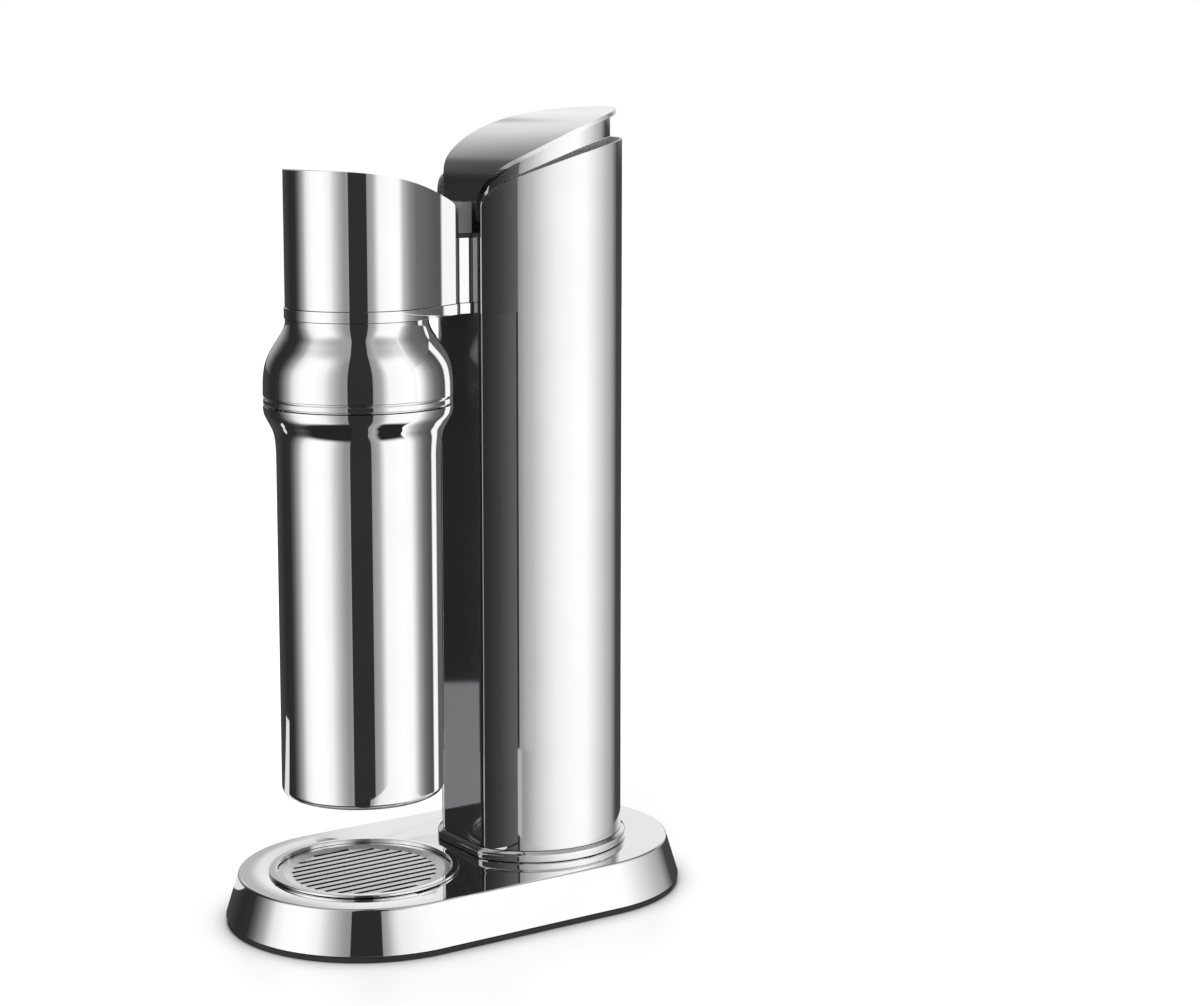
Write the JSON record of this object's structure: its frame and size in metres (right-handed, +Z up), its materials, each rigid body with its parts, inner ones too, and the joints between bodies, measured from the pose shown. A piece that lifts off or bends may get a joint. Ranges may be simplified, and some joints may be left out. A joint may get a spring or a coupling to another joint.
{
  "type": "sparkling water maker",
  "caption": "Polished steel sparkling water maker: oval base with drip tray, round column with a sloping push lever on top, nozzle head reaching forward over a steel bottle",
  "frame": {"origin": "on the floor plane, under the middle of the oval base", "axes": "+Z up; -Y is the front, where the bottle hangs; the column stands towards +Y; +X is to the right as seen from the front"},
  "size_m": [0.1492, 0.2572, 0.4189],
  "materials": {
    "polished_steel": "mirror-polished",
    "satin_steel": "satin",
    "inner_steel": "plain rolled and turned steel",
    "dark_mirror": "dark mirror",
    "dark_rubber": "matt",
    "grey_plastic": "fine matt",
    "black_plastic": "matt",
    "black_gloss": "gloss black paint",
    "brass": "turned",
    "white_plastic": "matt",
    "clear_plastic": "milky"
  },
  "bodies": {
    "stand": {"base_shell": "polished_steel", "base_plate": "inner_steel", "foot_ring": "dark_rubber", "base_screw_1": "inner_steel", "base_screw_2": "inner_steel", "base_screw_3": "inner_steel", "base_screw_4": "inner_steel", "column_foot": "polished_steel", "front_panel": "dark_mirror", "frame_channel": "inner_steel", "frame_screw_1": "inner_steel", "frame_screw_2": "inner_steel", "cylinder_guide": "black_plastic", "guide_screw": "inner_steel", "cylinder_pad": "dark_rubber", "top_bracket": "inner_steel", "bracket_screw_1": "inner_steel", "bracket_screw_2": "inner_steel", "valve_block": "brass", "valve_seal": "dark_rubber", "plunger_spring": "inner_steel", "lever_pin": "inner_steel", "block_fitting": "brass", "gas_hose": "black_plastic", "nozzle_fitting": "brass", "head_shell": "polished_steel", "head_ring": "polished_steel", "neck_pad": "dark_rubber", "hinge_block": "grey_plastic", "block_screw": "inner_steel", "head_beam": "inner_steel", "beam_screw_1": "inner_steel", "beam_screw_2": "inner_steel", "head_screw_1": "inner_steel", "head_screw_2": "inner_steel", "nozzle_body": "black_plastic", "relief_valve": "brass", "nozzle_tube": "clear_plastic", "nozzle_tip": "black_plastic", "bottle_socket": "grey_plastic", "socket_screw_1": "inner_steel", "socket_screw_2": "inner_steel", "bottle_seal": "dark_rubber"},
    "lever": {"lever_plate": "polished_steel", "lever_skirt": "polished_steel", "lever_arm": "inner_steel"},
    "plunger": {"plunger": "inner_steel"},
    "cylinder": {"gas_cylinder": "black_gloss", "cylinder_gasket": "white_plastic", "cylinder_valve": "brass"},
    "pin": {"valve_pin": "inner_steel"},
    "cover": {"column_shell": "polished_steel"},
    "bottle": {"bottle_body": "polished_steel", "bottle_seam": "satin_steel", "bottle_shoulder": "polished_steel"},
    "tray": {"drip_tray": "polished_steel"},
    "grille": {"drip_grille": "satin_steel"}
  },
  "joints": [
    {"name": "lever_press", "type": "hinge", "parent": "stand", "child": "lever", "pos_m": [0, 0.016, 0.368], "axis": [-1, 0, 0], "range_deg": [0, 6], "stiffness_Nm_per_rad": 2, "springref_deg": -14.32},
    {"name": "plunger_push", "type": "slide", "parent": "stand", "child": "plunger", "axis": [0, 0, -1], "range_m": [0, 0.004], "deforming": ["plunger_spring"]},
    {"name": "cylinder_lower", "type": "slide", "parent": "stand", "child": "cylinder", "axis": [0, 0, -1], "range_m": [0, 0.0135]},
    {"name": "pin_push", "type": "slide", "parent": "cylinder", "child": "pin", "axis": [0, 0, -1], "range_m": [0, 0.0027]},
    {"name": "cover_lift", "type": "slide", "parent": "stand", "child": "cover", "axis": [0, 0, 1], "range_m": [0, 0.39]},
    {"name": "bottle_lower", "type": "slide", "parent": "stand", "child": "bottle", "axis": [0, 0, -1], "range_m": [0, 0.013]},
    {"name": "tray_lift", "type": "slide", "parent": "stand", "child": "tray", "axis": [0, 0, 1], "range_m": [0, 0.017]},
    {"name": "grille_lift", "type": "slide", "parent": "tray", "child": "grille", "axis": [0, 0, 1], "range_m": [0, 0.005]}
  ],
  "couplings": [
    {"joint": "plunger_push", "follows": "lever_press", "m_per_rad": 0.03724},
    {"joint": "pin_push", "follows": "lever_press", "m_per_rad": 0.02483}
  ]
}
